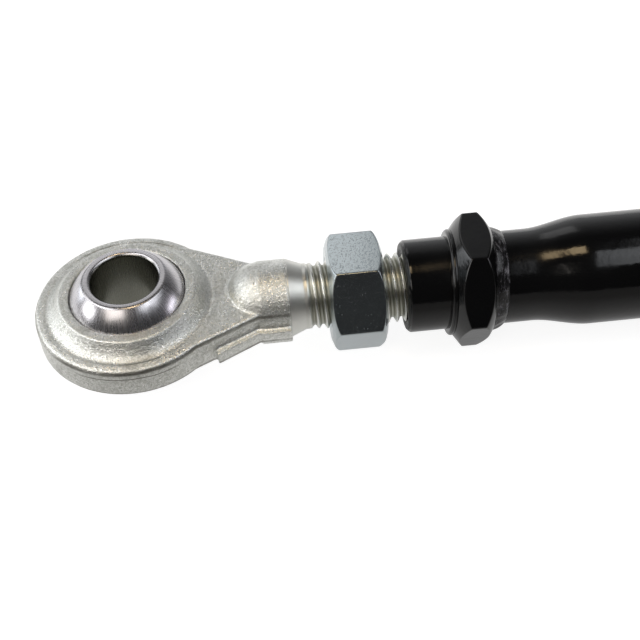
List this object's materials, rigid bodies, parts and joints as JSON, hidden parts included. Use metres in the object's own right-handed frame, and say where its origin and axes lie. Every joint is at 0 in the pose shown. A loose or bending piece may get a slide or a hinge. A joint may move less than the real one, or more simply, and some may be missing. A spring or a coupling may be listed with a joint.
{
  "type": "adjustable stabilizer link",
  "caption": "Turnbuckle stabilizer link for a tractor lift arm: black painted tube with welded hexagon collars, threaded rods with lock nuts, and forged eyes that hold bored swivel balls.",
  "frame": {"origin": "centre of the near ball, on the axis of its pin bore and on the axis of the thread", "axes": "+X runs along the link from the near eye to the far eye, +Z along the pin bores, the link lies flat"},
  "size_m": [0.5242, 0.0642, 0.042],
  "materials": {
    "black_paint": "gloss black paint",
    "plated_nut": "bright zinc plate",
    "plated_forging": "zinc plate over a blasted forging",
    "ground_steel": "ground bare steel"
  },
  "bodies": {
    "tube_body": {"tube": "black_paint", "near_hex_collar": "black_paint", "near_weld_bead": "black_paint", "far_hex_collar": "black_paint", "far_weld_bead": "black_paint"},
    "near_nut": {"near_lock_nut": "plated_nut"},
    "near_eye": {"near_eye_forging": "plated_forging"},
    "near_swivel": {"near_ball": "ground_steel"},
    "far_nut": {"far_lock_nut": "plated_nut"},
    "far_eye": {"far_eye_forging": "plated_forging"},
    "far_swivel": {"far_ball": "ground_steel"}
  },
  "joints": [
    {"name": "near_thread_travel", "type": "slide", "parent": "tube_body", "child": "near_nut", "axis": [-1, 0, 0], "range_m": [-0.0068, 0.0361]},
    {"name": "near_thread_turn", "type": "hinge", "parent": "near_nut", "child": "near_eye", "pos_m": [0, 0, 0], "axis": [-1, 0, 0], "range_deg": [-810, 4320]},
    {"name": "near_ball_tilt", "type": "hinge", "parent": "near_eye", "child": "near_swivel", "pos_m": [0, 0, 0], "axis": [0, 1, 0], "range_deg": [-20, 20]},
    {"name": "far_thread_travel", "type": "slide", "parent": "tube_body", "child": "far_nut", "axis": [1, 0, 0], "range_m": [-0.0068, 0.0361]},
    {"name": "far_thread_turn", "type": "hinge", "parent": "far_nut", "child": "far_eye", "pos_m": [0.46, 0, 0], "axis": [-1, 0, 0], "range_deg": [-810, 4320]},
    {"name": "far_ball_tilt", "type": "hinge", "parent": "far_eye", "child": "far_swivel", "pos_m": [0.46, 0, 0], "axis": [0, 1, 0], "range_deg": [-20, 20]}
  ],
  "couplings": [
    {"joint": "near_thread_travel", "follows": "near_thread_turn", "m_per_rad": 0.00047746},
    {"joint": "far_thread_turn", "follows": "near_thread_turn", "ratio": 1},
    {"joint": "far_thread_travel", "follows": "near_thread_turn", "m_per_rad": 0.00047746}
  ]
}
